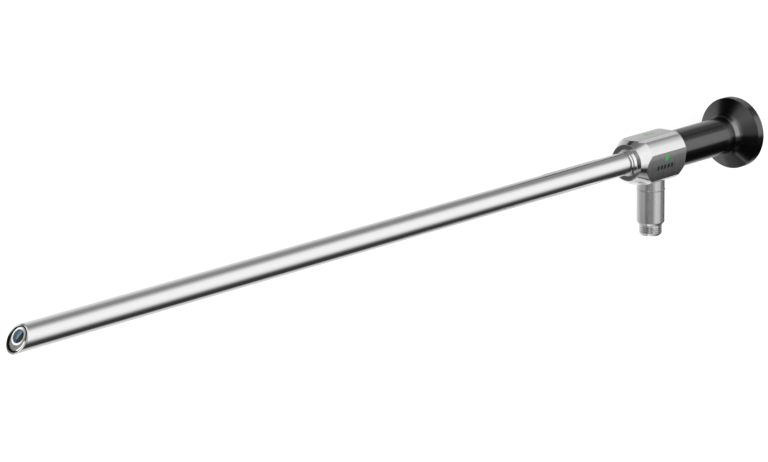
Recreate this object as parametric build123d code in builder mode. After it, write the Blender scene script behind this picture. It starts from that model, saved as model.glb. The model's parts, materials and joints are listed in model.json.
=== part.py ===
from build123d import *
import os
from math import asin, cos, hypot, radians, sin, sqrt, tan

os.makedirs("parts", exist_ok=True)

# A rigid endoscope with a slanted view, lying on a flat surface as it comes to rest.
# Its own frame has x along the tube towards the eyepiece, zero at the hub's front face,
# and z away from the light post. All sizes are in millimetres and degrees.

# Outer tube and its slanted end; the offcut is the spare length that the slanted cut takes off
tube_length = 350.0
tube_radius = 5.0
tube_wall = 0.6
bevel_angle = 32.0
tube_end_round = 0.35
tube_end_break = 0.2
tube_seat = 9.0
tube_seat_radius = 4.8
tube_shoulder = 2.6
tube_offcut = 15.0

# Image tube, which lies off centre to leave room for the light fibres
optic_offset = 1.0
optic_radius = 2.95
optic_wall = 0.3
bezel_width = 0.75
bezel_depth = 1.2
window_recess = 0.1
window_thickness = 0.8
fibre_recess = 0.15

# Lenses inside the image tube
lens_gap = 0.1
prism_length = 6.0
objective_thickness = 2.2
objective_spacing = 1.2
rod_count = 7
lens_bulge = 0.35
spacer_length = 5.0
spacer_wall = 0.35

# Running and press clearances between pieces that fit one in the other
fit_gap = 0.03

# Hub, a turned block with flats, cut from a blank that is larger by a margin
hub_length = 30.0
hub_radius = 10.85
hub_face_radius = 8.05
hub_rear_radius = 10.2
hub_front_slope = 1.9
hub_rear_slope = 1.95
top_flat = 9.4
bottom_flat = 10.35
side_flat = 9.67
side_lean = 9.65
corner_radius = 11.9
fibre_chamber_radius = 7.6
fibre_chamber_length = 11.0
blank_margin = 1.0
edge_break = 0.15

# Collar that holds the tube in the hub
collar_radius = 5.9
collar_neck_radius = 5.3
collar_reach = 2.4
collar_neck_reach = 1.9
collar_waist_bend = 3.8
collar_seat = 8.0

# Light post under the hub
post_place = 17.35
post_radius = 6.1
post_base_length = 4.45
post_lip_radius = 6.3
post_lip_length = 0.5
post_spot_depth = 0.55
post_spigot_radius = 4.8
post_spigot_length = 1.6
adapter_length = 20.4
adapter_shoulder = 14.4
shoulder_length = 1.4
thread_radius = 5.05
thread_depth = 0.45
thread_pitch = 0.85
thread_land = 0.17
thread_turns = 4
post_end_radius = 4.3
joint_spigot_radius = 4.7
joint_spigot_length = 4.5
seal_thickness = 1.2
fibre_radius = 1.9
fibre_bend = 6.35
ferrule_radius = 3.2
ferrule_length = 11.0
inlet_glass_thickness = 1.0
inlet_recess = 0.3

# Eyepiece, from the hub to its rear face
eyepiece_length = 48.8
barrel_radius = 8.25
rim_radius = 16.0
rim_width = 4.1
flare_angle = 58.3
flare_fillet = 4.0
rim_break = 0.3
dish_mouth_radius = 14.6
dish_floor_radius = 7.0
dish_depth = 5.6

# Eyepiece window
eye_window_radius = 6.4
eye_window_thickness = 1.6
eye_window_aperture = 5.2
retaining_ring_length = 1.0
window_seal_thickness = 0.7
window_lip = 0.9

# Ocular housing and what it holds
housing_radius = 6.6
housing_wall = 0.8
housing_web = 3.0
housing_gap = 1.0
field_stop_thickness = 0.6
field_stop_aperture = 1.8
ocular_cell_length = 14.0
ocular_radius = 4.0
ocular_lens_thickness = 3.0
ocular_lens_bulge = 0.9
ocular_spacing = 3.5
ocular_ledge = 0.8
cell_ring_length = 2.0
cell_ring_wall = 0.7
cell_ring_recess = 1.5
field_mark_size = 0.35

# Places along the scope that follow from the sizes
hub_rear = hub_length
eyepiece_rear = hub_rear + eyepiece_length
rim_front = eyepiece_rear - rim_width
chamber_start = tube_seat
chamber_end = chamber_start + fibre_chamber_length
housing_start = chamber_end
optic_end = housing_start + housing_web
base_top = -bottom_flat + post_spot_depth
base_bottom = -bottom_flat - post_base_length
thread_start = base_bottom - adapter_shoulder - shoulder_length
post_end = base_bottom - adapter_length
thread_end = thread_start - thread_pitch * thread_turns
dish_floor = eyepiece_rear - dish_depth

# How the scope lies: on the rim of the eyepiece, the end of the tube and the end of the post.
# The slope of the axis and the droop of the post are found by settling one after the other.
settle_steps = 40
slope = 0.0
droop = 0.0
hub_height = rim_radius
rim_contact = rim_front + rim_break
bevel_rise = tan(radians(bevel_angle))
for step in range(settle_steps):
    tip_reach = tube_radius * hypot(cos(droop) * cos(slope), sin(droop) * cos(slope) + bevel_rise * sin(slope))
    slope = asin((rim_radius * cos(slope) - tip_reach) / (rim_contact + tube_length))
    hub_height = rim_radius * cos(slope) - rim_contact * sin(slope)
    post_reach = thread_radius * hypot(sin(slope), cos(droop) * cos(slope))
    droop = asin((hub_height + post_place * sin(slope) - post_reach) / (-thread_end * cos(slope)))

# The origin is under the middle of everything, on the surface that the scope lies on
front_extent = -tube_length * cos(slope) - tube_radius * hypot(
    cos(droop) * sin(slope), bevel_rise * cos(slope) - sin(droop) * sin(slope)
)
rear_extent = eyepiece_rear * cos(slope) + (rim_radius - rim_break) * sin(slope)
post_extent = post_end * cos(droop) - post_end_radius * sin(droop)
hub_point = Vector(
    -(front_extent + rear_extent) / 2,
    -(rim_radius + post_extent) / 2,
    hub_height,
)
along = Vector(cos(slope), 0, sin(slope))
raised = Vector(-sin(slope), 0, cos(slope))
away = Vector(0, cos(droop), 0) + raised * sin(droop)

scope = Plane(origin=hub_point, x_dir=along, z_dir=away)
section = Plane(origin=hub_point, x_dir=along, z_dir=-scope.y_dir)
scope_axis = Axis(hub_point, along)
post_axis = Axis(scope.from_local_coords(Vector(post_place, 0, 0)), -away)


def across(x):
    """Plane across the scope at x, its sketch y away from the post."""
    return Plane(origin=scope.from_local_coords(Vector(x, 0, 0)), x_dir=scope.y_dir, z_dir=along)


def along_post(z):
    """Plane across the light post at height z, looking down the post."""
    return Plane(origin=scope.from_local_coords(Vector(post_place, 0, z)), x_dir=along, z_dir=-away)


def slant(depth):
    """Plane of the slanted end, moved back into the tube by a depth."""
    facing = along * -cos(radians(bevel_angle)) + away * sin(radians(bevel_angle))
    middle = scope.from_local_coords(Vector(-tube_length, 0, 0))
    return Plane(origin=middle - facing * depth, x_dir=scope.y_dir, z_dir=facing)


def turned_ring(start, end, inner, outer, centre=0.0):
    """Plain ring about a line along the scope, from start to end."""
    with BuildPart() as ring:
        with BuildSketch(across(start)):
            with Locations((0, centre)):
                Circle(outer)
                Circle(inner, mode=Mode.SUBTRACT)
        extrude(amount=end - start)
    return ring.part


def round_lens(start, end, radius, seat, front_bulge, rear_bulge, centre=0.0):
    """Lens with its edge from start to end and a flat seat round each domed face."""
    clear = centre + radius - seat
    with BuildPart() as lens:
        with BuildSketch(section):
            with BuildLine():
                Line((start - front_bulge, centre), (end + rear_bulge, centre))
                dome_line((end + rear_bulge, centre), (end, clear), rear_bulge)
                Polyline((end, clear), (end, centre + radius), (start, centre + radius), (start, clear))
                dome_line((start - front_bulge, centre), (start, clear), -front_bulge)
            make_face()
        revolve(axis=Axis(scope.from_local_coords(Vector(0, 0, centre)), along))
    return lens.part


def dome_line(middle, rim, bulge):
    """Section of a lens face from its middle to its seat, a line where it is flat."""
    if bulge == 0:
        return Line(middle, rim)
    radius = rim[1] - middle[1]
    sphere = (radius**2 + bulge**2) / (2 * bulge)
    half_angle = asin(radius / abs(sphere)) / 2
    halfway = (middle[0] - sphere * (1 - cos(half_angle)), middle[1] + abs(sphere) * sin(half_angle))
    return ThreePointArc(middle, halfway, rim)


# Outer tube, cut off at a slant with a rounded lip
far_front = -tube_length - tube_offcut
tube_bore = tube_radius - tube_wall
with BuildPart() as outer_tube:
    with BuildSketch(across(far_front)):
        Circle(tube_radius)
        Circle(tube_bore, mode=Mode.SUBTRACT)
    extrude(amount=tube_seat - far_front)
    split(bisect_by=slant(0), keep=Keep.BOTTOM)
    lip = outer_tube.faces().filter_by(GeomType.PLANE).sort_by(scope_axis)[0]
    fillet(lip.edges().sort_by(SortBy.LENGTH)[-1], tube_end_round)
    lip = outer_tube.faces().filter_by(GeomType.PLANE).sort_by(scope_axis)[0]
    chamfer(lip.edges().sort_by(SortBy.LENGTH)[0], tube_end_break)
    # The end in the hub is turned down, from a shoulder just in front of the collar
    with BuildSketch(across(-tube_shoulder)):
        Circle(tube_radius)
        Circle(tube_seat_radius, mode=Mode.SUBTRACT)
    extrude(amount=tube_shoulder + tube_seat, mode=Mode.SUBTRACT)
outer_tube.part.label = "outer_tube"
export_step(outer_tube.part, "parts/outer_tube.step")

# Image tube, eccentric in the outer tube, from behind the bezel to the ocular housing
optic_bore = optic_radius - optic_wall
with BuildPart() as image_tube:
    with BuildSketch(across(far_front)):
        with Locations((0, optic_offset)):
            Circle(optic_radius)
            Circle(optic_bore, mode=Mode.SUBTRACT)
    extrude(amount=optic_end - far_front)
    split(bisect_by=slant(bezel_depth), keep=Keep.BOTTOM)
image_tube.part.label = "image_tube"
export_step(image_tube.part, "parts/image_tube.step")

# Polished bezel that holds the front window in the end of the image tube
window_radius = optic_radius - bezel_width
with BuildPart() as window_bezel:
    with BuildSketch(across(far_front)):
        with Locations((0, optic_offset)):
            Circle(optic_radius)
            Circle(window_radius, mode=Mode.SUBTRACT)
    extrude(amount=-far_front)
    split(bisect_by=slant(0), keep=Keep.BOTTOM)
    split(bisect_by=slant(bezel_depth), keep=Keep.TOP)
window_bezel.part.label = "window_bezel"
export_step(window_bezel.part, "parts/window_bezel.step")

# Front window
with BuildPart() as front_window:
    with BuildSketch(across(far_front)):
        with Locations((0, optic_offset)):
            Circle(window_radius - fit_gap)
    extrude(amount=-far_front)
    split(bisect_by=slant(window_recess), keep=Keep.BOTTOM)
    split(bisect_by=slant(window_recess + window_thickness), keep=Keep.TOP)
front_window.part.label = "front_window"
export_step(front_window.part, "parts/front_window.step")

# Prism that turns the view, with its slanted face to the window
lens_radius = optic_bore - fit_gap
optic_front = -tube_length + optic_offset * bevel_rise
prism_start = optic_front + (bezel_depth + lens_gap) / cos(radians(bevel_angle))
prism_end = prism_start + prism_length
with BuildPart() as view_prism:
    with BuildSketch(across(far_front)):
        with Locations((0, optic_offset)):
            Circle(lens_radius)
    extrude(amount=prism_end - far_front)
    split(bisect_by=slant(bezel_depth + lens_gap), keep=Keep.BOTTOM)
view_prism.part.label = "view_prism"
export_step(view_prism.part, "parts/view_prism.step")

# Objective, a flat and convex lens and a biconvex lens with a ring between them
objective_start = prism_end + lens_gap
objective_middle = objective_start + objective_thickness
second_start = objective_middle + objective_spacing
second_end = second_start + objective_thickness
spacer_bore = lens_radius - spacer_wall

objective_front = round_lens(
    objective_start, objective_middle, lens_radius, spacer_wall, 0, lens_bulge, optic_offset
)
objective_front.label = "objective_front"
export_step(objective_front, "parts/objective_front.step")

objective_ring = turned_ring(objective_middle, second_start, spacer_bore, lens_radius, optic_offset)
objective_ring.label = "objective_ring"
export_step(objective_ring, "parts/objective_ring.step")

objective_rear = round_lens(
    second_start, second_end, lens_radius, spacer_wall, lens_bulge, lens_bulge, optic_offset
)
objective_rear.label = "objective_rear"
export_step(objective_rear, "parts/objective_rear.step")

# Rod lenses that relay the picture, each between two spacer tubes
relay_room = optic_end - second_end
rod_length = (relay_room - spacer_length * (rod_count + 1)) / rod_count
for number in range(1, rod_count + 2):
    spacer_start = second_end + (number - 1) * (rod_length + spacer_length)
    spacer = turned_ring(spacer_start, spacer_start + spacer_length, spacer_bore, lens_radius, optic_offset)
    spacer.label = f"rod_spacer_{number}"
    export_step(spacer, f"parts/{spacer.label}.step")

for number in range(1, rod_count + 1):
    rod_start = second_end + number * spacer_length + (number - 1) * rod_length
    rod_end = rod_start + rod_length
    rod = round_lens(rod_start, rod_end, lens_radius, spacer_wall, lens_bulge, lens_bulge, optic_offset)
    rod.label = f"rod_lens_{number}"
    export_step(rod, f"parts/{rod.label}.step")

# Light fibres: packed round the image tube, then gathered and bent down into the post
gather_height = optic_offset - optic_radius - fibre_radius - fit_gap
bend_start = post_place - fibre_bend
fibre_end = post_end + inlet_recess + inlet_glass_thickness
with BuildPart() as light_fibres:
    with BuildSketch(across(far_front)):
        Circle(tube_bore - fit_gap)
        with Locations((0, optic_offset)):
            Circle(optic_radius + fit_gap, mode=Mode.SUBTRACT)
    extrude(amount=tube_seat - far_front)
    split(bisect_by=slant(fibre_recess), keep=Keep.BOTTOM)
    with BuildLine(section):
        gathered = Line((tube_seat, gather_height), (bend_start, gather_height))
        bend = CenterArc((bend_start, gather_height - fibre_bend), fibre_bend, 90, -90)
        down = Line((post_place, gather_height - fibre_bend), (post_place, fibre_end))
    with BuildSketch(across(tube_seat)):
        with Locations((0, gather_height)):
            Circle(fibre_radius)
    sweep()
light_fibres.part.label = "light_fibres"
export_step(light_fibres.part, "parts/light_fibres.step")

# Collar between the tube and the hub, with a waisted front
with BuildPart() as tube_collar:
    with BuildSketch(section):
        with BuildLine():
            bore = Line((collar_seat, tube_seat_radius + fit_gap), (-collar_reach, tube_seat_radius + fit_gap))
            front = Line(bore @ 1, (-collar_reach, tube_radius + fit_gap))
            nose = Line(front @ 1, (-collar_neck_reach, collar_neck_radius))
            waist = RadiusArc(nose @ 1, (0, collar_radius), -collar_waist_bend)
            land = Line(waist @ 1, (collar_seat, collar_radius))
            back = Line(land @ 1, bore @ 0)
        make_face()
    revolve(axis=scope_axis)
tube_collar.part.label = "tube_collar"
export_step(tube_collar.part, "parts/tube_collar.step")

# Hub section: a round top with a flat, leaning side flats and round lower corners
lean = tan(radians(side_lean))
flat_run = 1 + lean**2
shoulder_root = sqrt((side_flat * lean) ** 2 - flat_run * (side_flat**2 - hub_radius**2))
side_top = (-side_flat * lean + shoulder_root) / flat_run
corner_root = sqrt((side_flat * lean) ** 2 - flat_run * (side_flat**2 - corner_radius**2))
side_foot = (-side_flat * lean - corner_root) / flat_run
top_half = sqrt(hub_radius**2 - top_flat**2)
bottom_half = sqrt(corner_radius**2 - bottom_flat**2)
side_top_point = (side_flat + lean * side_top, side_top)
side_foot_point = (side_flat + lean * side_foot, side_foot)
blank_radius = corner_radius + blank_margin
front_flare = hub_front_slope * (blank_radius - hub_face_radius)
rear_flare = hub_rear_slope * (blank_radius - hub_rear_radius)
housing_socket = housing_radius + fit_gap
with BuildPart() as hub_body:
    with BuildSketch(across(0)):
        with BuildLine():
            crown = Line((0, top_flat), (top_half, top_flat))
            shoulder = RadiusArc(crown @ 1, side_top_point, hub_radius)
            side = Line(side_top_point, side_foot_point)
            corner = RadiusArc(side @ 1, (bottom_half, -bottom_flat), corner_radius)
            base = Line(corner @ 1, (0, -bottom_flat))
            mirror(about=Plane.YZ)
        make_face()
    extrude(amount=hub_length)
    # Turned outline: a long cone in front, a shorter one behind, and the stepped bore
    with BuildSketch(section):
        with BuildLine():
            Polyline(
                (0, collar_radius + fit_gap),
                (0, hub_face_radius),
                (front_flare, blank_radius),
                (hub_rear - rear_flare, blank_radius),
                (hub_rear, hub_rear_radius),
                (hub_rear, housing_socket),
                (chamber_end, housing_socket),
                (chamber_end, fibre_chamber_radius),
                (chamber_start, fibre_chamber_radius),
                (chamber_start, collar_radius + fit_gap),
                close=True,
            )
        make_face()
    revolve(axis=scope_axis, mode=Mode.INTERSECT)
    with BuildSketch(along_post(base_top)):
        Circle(post_radius + fit_gap)
    extrude(amount=bottom_flat, mode=Mode.SUBTRACT)
    with BuildSketch(along_post(base_top + post_spigot_length)):
        Circle(post_spigot_radius + fit_gap)
    extrude(amount=post_spigot_length, mode=Mode.SUBTRACT)
    # Way for the fibres, from inside the chamber down through the flat
    with BuildSketch(along_post(-fibre_chamber_radius / 2)):
        Circle(ferrule_radius)
    extrude(amount=bottom_flat, mode=Mode.SUBTRACT)
hub_body.part.label = "hub_body"
export_step(hub_body.part, "parts/hub_body.step")

# Base of the light post, seated in the hub, with a lip at its lower end and a spigot for the adapter
with BuildPart() as light_post_base:
    with BuildSketch(section):
        with BuildLine():
            Polyline(
                (post_place + ferrule_radius, base_top + post_spigot_length),
                (post_place + post_spigot_radius, base_top + post_spigot_length),
                (post_place + post_spigot_radius, base_top),
                (post_place + post_radius, base_top),
                (post_place + post_radius, base_bottom + post_lip_length),
                (post_place + post_lip_radius, base_bottom + post_lip_length - edge_break),
                (post_place + post_lip_radius, base_bottom + edge_break),
                (post_place + post_lip_radius - edge_break, base_bottom),
                (post_place + joint_spigot_radius, base_bottom),
                (post_place + joint_spigot_radius, base_bottom - joint_spigot_length),
                (post_place + ferrule_radius, base_bottom - joint_spigot_length),
                close=True,
            )
        make_face()
    revolve(axis=post_axis)
light_post_base.part.label = "light_post_base"
export_step(light_post_base.part, "parts/light_post_base.step")

# Light post adapter, the part that a light cable goes on, with its threaded end
socket_floor = base_bottom - joint_spigot_length - seal_thickness
crest = post_place + thread_radius
root = crest - thread_depth
thread_flank = (thread_pitch - thread_land) / 2
thread_points = []
for turn in range(thread_turns):
    turn_top = thread_start - turn * thread_pitch
    thread_points.append((root, turn_top))
    thread_points.append((crest, turn_top - thread_flank))
    thread_points.append((crest, turn_top - thread_flank - thread_land))
thread_points.append((root, thread_end + thread_land))
thread_points.append((crest, thread_end))
with BuildPart() as light_post_adapter:
    with BuildSketch(section):
        with BuildLine():
            Polyline(
                (post_place + joint_spigot_radius + fit_gap, base_bottom),
                (post_place + post_radius - edge_break, base_bottom),
                (post_place + post_radius, base_bottom - edge_break),
                (post_place + post_radius, base_bottom - adapter_shoulder),
                (crest, thread_start + edge_break),
                *thread_points,
                (post_place + post_end_radius, post_end),
                (post_place + ferrule_radius + fit_gap, post_end),
                (post_place + ferrule_radius + fit_gap, socket_floor),
                (post_place + joint_spigot_radius + fit_gap, socket_floor),
                close=True,
            )
        make_face()
    revolve(axis=post_axis)
light_post_adapter.part.label = "light_post_adapter"
export_step(light_post_adapter.part, "parts/light_post_adapter.step")

# Seal ring squeezed between the base and the adapter
with BuildPart() as light_post_seal:
    with BuildSketch(section):
        with Locations((post_place + joint_spigot_radius - seal_thickness / 2, socket_floor + seal_thickness / 2)):
            Circle(seal_thickness / 2)
    revolve(axis=post_axis)
light_post_seal.part.label = "light_post_seal"
export_step(light_post_seal.part, "parts/light_post_seal.step")

# Ferrule round the end of the fibres, and the glass that the light comes in by
with BuildPart() as fibre_ferrule:
    with BuildSketch(section):
        with Locations((post_place + (fibre_radius + fit_gap + ferrule_radius) / 2, fibre_end + ferrule_length / 2)):
            Rectangle(ferrule_radius - fibre_radius - fit_gap, ferrule_length)
    revolve(axis=post_axis)
fibre_ferrule.part.label = "fibre_ferrule"
export_step(fibre_ferrule.part, "parts/fibre_ferrule.step")

with BuildPart() as light_inlet_glass:
    with BuildSketch(along_post(fibre_end)):
        Circle(ferrule_radius)
    extrude(amount=inlet_glass_thickness)
light_inlet_glass.part.label = "light_inlet_glass"
export_step(light_inlet_glass.part, "parts/light_inlet_glass.step")

# Eyepiece shell: a plain barrel that flares into a dished rim
flare_foot = rim_front - (rim_radius - barrel_radius) / tan(radians(flare_angle))
ring_front = dish_floor - retaining_ring_length
glass_front = ring_front - eye_window_thickness
seat_front = glass_front - window_seal_thickness
lip_front = seat_front - window_lip
window_socket = eye_window_radius + fit_gap
with BuildPart() as eyepiece_shell:
    with BuildSketch(section) as shell_sketch:
        with BuildLine():
            Polyline(
                (hub_rear, housing_socket),
                (hub_rear, barrel_radius),
                (flare_foot, barrel_radius),
                (rim_front, rim_radius),
                (eyepiece_rear, rim_radius),
                (eyepiece_rear, dish_mouth_radius),
                (dish_floor, dish_floor_radius),
                (dish_floor, window_socket),
                (seat_front, window_socket),
                (seat_front, eye_window_aperture),
                (lip_front, eye_window_aperture),
                (lip_front, housing_socket),
                close=True,
            )
        make_face()
        foot_corner = shell_sketch.vertices().sort_by_distance((flare_foot, barrel_radius))[0]
        fillet(foot_corner, flare_fillet)
        for place in (rim_front, eyepiece_rear):
            chamfer(shell_sketch.vertices().sort_by_distance((place, rim_radius))[0], rim_break)
    revolve(axis=scope_axis)
eyepiece_shell.part.label = "eyepiece_shell"
export_step(eyepiece_shell.part, "parts/eyepiece_shell.step")

# Ocular housing, a steel tube from the hub into the shell, bored off centre for the image tube
housing_end = lip_front - housing_gap
housing_bore = housing_radius - housing_wall
with BuildPart() as ocular_housing:
    with BuildSketch(across(housing_start)):
        Circle(housing_radius)
        with Locations((0, optic_offset)):
            Circle(optic_radius + fit_gap, mode=Mode.SUBTRACT)
    extrude(amount=housing_web)
    with BuildSketch(across(optic_end)):
        Circle(housing_radius)
        Circle(housing_bore, mode=Mode.SUBTRACT)
    extrude(amount=housing_end - optic_end)
ocular_housing.part.label = "ocular_housing"
export_step(ocular_housing.part, "parts/ocular_housing.step")

# Inside the housing, from the hub: field stop, spacer tube, lens cell with two lenses, and its ring
cell_radius = housing_bore - fit_gap
cell_ring_start = housing_end - cell_ring_recess - cell_ring_length
cell_start = cell_ring_start - ocular_cell_length
stop_end = optic_end + field_stop_thickness
with BuildPart() as field_stop:
    with BuildSketch(across(optic_end)):
        Circle(cell_radius)
        with Locations((0, optic_offset)):
            Circle(field_stop_aperture, mode=Mode.SUBTRACT)
            with Locations((0, field_stop_aperture)):
                RegularPolygon(field_mark_size, 3, mode=Mode.SUBTRACT)
    extrude(amount=field_stop_thickness)
field_stop.part.label = "field_stop"
export_step(field_stop.part, "parts/field_stop.step")

ocular_spacer = turned_ring(stop_end, cell_start, cell_radius - cell_ring_wall, cell_radius)
ocular_spacer.label = "ocular_spacer"
export_step(ocular_spacer, "parts/ocular_spacer.step")

first_ocular = cell_start + ocular_ledge
first_ocular_end = first_ocular + ocular_lens_thickness
second_ocular = first_ocular_end + ocular_spacing
second_ocular_end = second_ocular + ocular_lens_thickness
with BuildPart() as ocular_cell:
    with BuildSketch(across(cell_start)):
        Circle(cell_radius)
        with Locations((0, optic_offset)):
            Circle(ocular_radius - ocular_ledge / 2, mode=Mode.SUBTRACT)
    extrude(amount=ocular_ledge)
    with BuildSketch(across(first_ocular)):
        Circle(cell_radius)
        with Locations((0, optic_offset)):
            Circle(ocular_radius + fit_gap, mode=Mode.SUBTRACT)
    extrude(amount=cell_ring_start - first_ocular)
ocular_cell.part.label = "ocular_cell"
export_step(ocular_cell.part, "parts/ocular_cell.step")

field_lens = round_lens(
    first_ocular, first_ocular_end, ocular_radius, ocular_ledge, 0, ocular_lens_bulge, optic_offset
)
field_lens.label = "field_lens"
export_step(field_lens, "parts/field_lens.step")

ocular_lens_ring = turned_ring(
    first_ocular_end, second_ocular, ocular_radius - ocular_ledge / 2, ocular_radius, optic_offset
)
ocular_lens_ring.label = "ocular_lens_ring"
export_step(ocular_lens_ring, "parts/ocular_lens_ring.step")

eye_lens = round_lens(
    second_ocular, second_ocular_end, ocular_radius, ocular_ledge, ocular_lens_bulge, 0, optic_offset
)
eye_lens.label = "eye_lens"
export_step(eye_lens, "parts/eye_lens.step")

# The ring screws into the housing and holds the cell; a sleeve inside it holds the lenses
cell_ring = turned_ring(
    cell_ring_start, cell_ring_start + cell_ring_length, ocular_radius - ocular_ledge, cell_radius
)
cell_ring.label = "cell_ring"
export_step(cell_ring, "parts/cell_ring.step")

lens_sleeve = turned_ring(
    second_ocular_end, cell_ring_start, ocular_radius - ocular_ledge / 2, ocular_radius, optic_offset
)
lens_sleeve.label = "lens_sleeve"
export_step(lens_sleeve, "parts/lens_sleeve.step")

# Eyepiece window with its seal and the ring that holds it in the floor of the dish
with BuildPart() as window_seal:
    with BuildSketch(section):
        with Locations((seat_front + window_seal_thickness / 2, eye_window_radius - window_seal_thickness / 2)):
            Circle(window_seal_thickness / 2)
    revolve(axis=scope_axis)
window_seal.part.label = "window_seal"
export_step(window_seal.part, "parts/window_seal.step")

with BuildPart() as eyepiece_window:
    with BuildSketch(across(glass_front)):
        Circle(eye_window_radius)
    extrude(amount=eye_window_thickness)
eyepiece_window.part.label = "eyepiece_window"
export_step(eyepiece_window.part, "parts/eyepiece_window.step")

with BuildPart() as window_ring:
    with BuildSketch(across(ring_front)):
        Circle(eye_window_radius)
        Circle(eye_window_aperture, mode=Mode.SUBTRACT)
    extrude(amount=retaining_ring_length)
    inner_edge = window_ring.faces().sort_by(scope_axis)[-1].edges().sort_by(SortBy.LENGTH)[0]
    chamfer(inner_edge, retaining_ring_length / 2)
window_ring.part.label = "window_ring"
export_step(window_ring.part, "parts/window_ring.step")
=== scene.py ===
"""A rigid endoscope: finely made pieces, metal, glass and black finishes, and a plain studio."""

import json
import math

import bmesh
import bpy
from mathutils import Euler, Matrix, Vector


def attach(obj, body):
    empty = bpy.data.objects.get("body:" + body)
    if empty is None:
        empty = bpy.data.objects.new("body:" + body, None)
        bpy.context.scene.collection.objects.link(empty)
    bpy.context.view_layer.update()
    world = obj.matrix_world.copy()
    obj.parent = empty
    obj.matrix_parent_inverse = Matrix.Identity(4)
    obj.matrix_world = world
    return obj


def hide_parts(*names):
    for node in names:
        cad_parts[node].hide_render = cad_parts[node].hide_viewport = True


bl_info = {
    "name": "Rigid endoscope looks",
    "version": (1, 0, 0),
    "blender": (4, 5, 0),
    "location": "3D View > Sidebar > Endoscope",
    "description": "Pieces, finishes and studio for a rigid endoscope with a slanted view",
    "category": "Add Mesh",
}

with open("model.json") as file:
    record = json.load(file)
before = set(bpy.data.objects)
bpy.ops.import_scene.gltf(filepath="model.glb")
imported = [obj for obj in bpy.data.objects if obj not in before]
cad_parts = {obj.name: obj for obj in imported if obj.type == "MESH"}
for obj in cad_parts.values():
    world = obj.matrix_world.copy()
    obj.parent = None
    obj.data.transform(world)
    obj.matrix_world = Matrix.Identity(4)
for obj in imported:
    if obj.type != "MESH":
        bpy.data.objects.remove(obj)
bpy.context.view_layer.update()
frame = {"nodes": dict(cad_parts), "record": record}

# The scope's own frame, in millimetres: x along the tube towards the eyepiece with zero at the
# hub's front face, z away from the light post, and y across. It comes from the stated mounts.
MM = 0.001
mounts = {mount["name"]: mount for mount in frame["record"]["mounts"]}
POST_PLACE = 17.35
ALONG = -Vector(mounts["tube"]["axis"])
AWAY = -Vector(mounts["light_post"]["axis"])
ACROSS = AWAY.cross(ALONG)
TUBE_POINT = Vector(mounts["tube"]["pos_m"])
POST_POINT = Vector(mounts["light_post"]["pos_m"])
HUB = TUBE_POINT + ALONG * ((POST_POINT - TUBE_POINT).dot(ALONG) - POST_PLACE * MM)
TO_ROW = Matrix.Translation(HUB) @ Matrix((ALONG, ACROSS, AWAY)).transposed().to_4x4() @ Matrix.Scale(MM, 4)

# Shapes that the CAD solids have, in millimetres. Up to SLANT_REACH behind the slanted cut, the
# tube's rows follow it.
TUBE_LENGTH = 350.0
TUBE_RADIUS = mounts["tube"]["dims"]["r_mm"]
TUBE_BORE = 4.4
TUBE_NECK = 4.8
SLANT_TURN = math.radians(32.0)
SLANT = math.tan(SLANT_TURN)
SLANT_STRETCH = 1 / math.cos(SLANT_TURN)
SLANT_REACH = 30.0
OPTIC_OFFSET = 1.0
BEZEL_BORE = 2.2
BEZEL_RADIUS = 2.95
COLLAR_RADIUS = 5.9
# Hub: its rounds above and at the foot, and how far out its top, leaning sides and bottom lie
HUB_LENGTH = 30.0
HUB_ROUND = 10.85
HUB_FOOT_ROUND = 11.9
HUB_TOP = 9.4
HUB_SIDE = 9.67
HUB_LOW = 10.35
HUB_LEAN = math.tan(math.radians(9.65))
HUB_FACE = 8.05
HUB_REAR = 10.2
HOUSING_RADIUS = 6.6
# Light post: depths under the tube's axis and radii
POST_RADIUS = mounts["light_post"]["dims"]["r_mm"]
POST_BORE = 3.2
POST_NECK = 4.8
POST_NECK_TOP = 8.2
POST_TOP = 9.8
POST_SEAM = 14.8
SPIGOT_RADIUS = 4.7
THREAD_RADIUS = 5.05
# Eyepiece: places behind the hub's front, and radii
BARREL_RADIUS = 8.25
RIM_RADIUS = mounts["eyepiece_rim"]["dims"]["r_mm"]
RIM_FRONT = 74.7
RIM_BACK = 78.8
DISH_FLOOR = 73.2
APERTURE = 5.2
EYE_PANE = 6.4
# Play between two pieces that fit in one another
SLACK = 0.03

# Wear on the low side of the slanted lip: it starts at a radius and grows with the square
LIP_WEAR_FROM = 4.75
LIP_WEAR = 3.5


# Shapes

def rounded(corners, steps=4):
    """Closed outline through (x, r, radius) corners, each corner rounded by its radius."""
    line = []
    for number, (x, r, radius) in enumerate(corners):
        here = Vector((x, r))
        back = Vector(corners[number - 1][:2]) - here
        ahead = Vector(corners[(number + 1) % len(corners)][:2]) - here
        half = back.angle(ahead) / 2
        reach = min(radius / math.tan(half), 0.48 * back.length, 0.48 * ahead.length) if radius else 0
        if reach < 1e-4:
            line.append((x, r))
            continue
        true_radius = reach * math.tan(half)
        middle = here + (back.normalized() + ahead.normalized()).normalized() * (true_radius / math.sin(half))
        first = here + back.normalized() * reach - middle
        last = here + ahead.normalized() * reach - middle
        sweep = math.atan2(first.x * last.y - first.y * last.x, first.dot(last))
        for step in range(steps + 1):
            turn = sweep * step / steps
            line.append((
                middle.x + first.x * math.cos(turn) - first.y * math.sin(turn),
                middle.y + first.x * math.sin(turn) + first.y * math.cos(turn),
            ))
    return line


def turned(x, r, angle):
    """Point at x and r of a piece turned about the tube's axis."""
    return (x, r * math.sin(angle), r * math.cos(angle))


def slanted(x, r, angle):
    """Point of the tube: near its far end x is the distance behind the slanted cut, rubbed down on its low
    side.
    """
    height = r * math.cos(angle)
    shear = height * SLANT if x < SLANT_REACH else 0
    low = max(0, -math.cos(angle))
    wear_and_painted_shade = LIP_WEAR * max(0, r - LIP_WEAR_FROM) ** 2 * low if x < 0.5 else 0
    return (x - TUBE_LENGTH + shear + wear_and_painted_shade, r * math.sin(angle), height)


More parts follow.
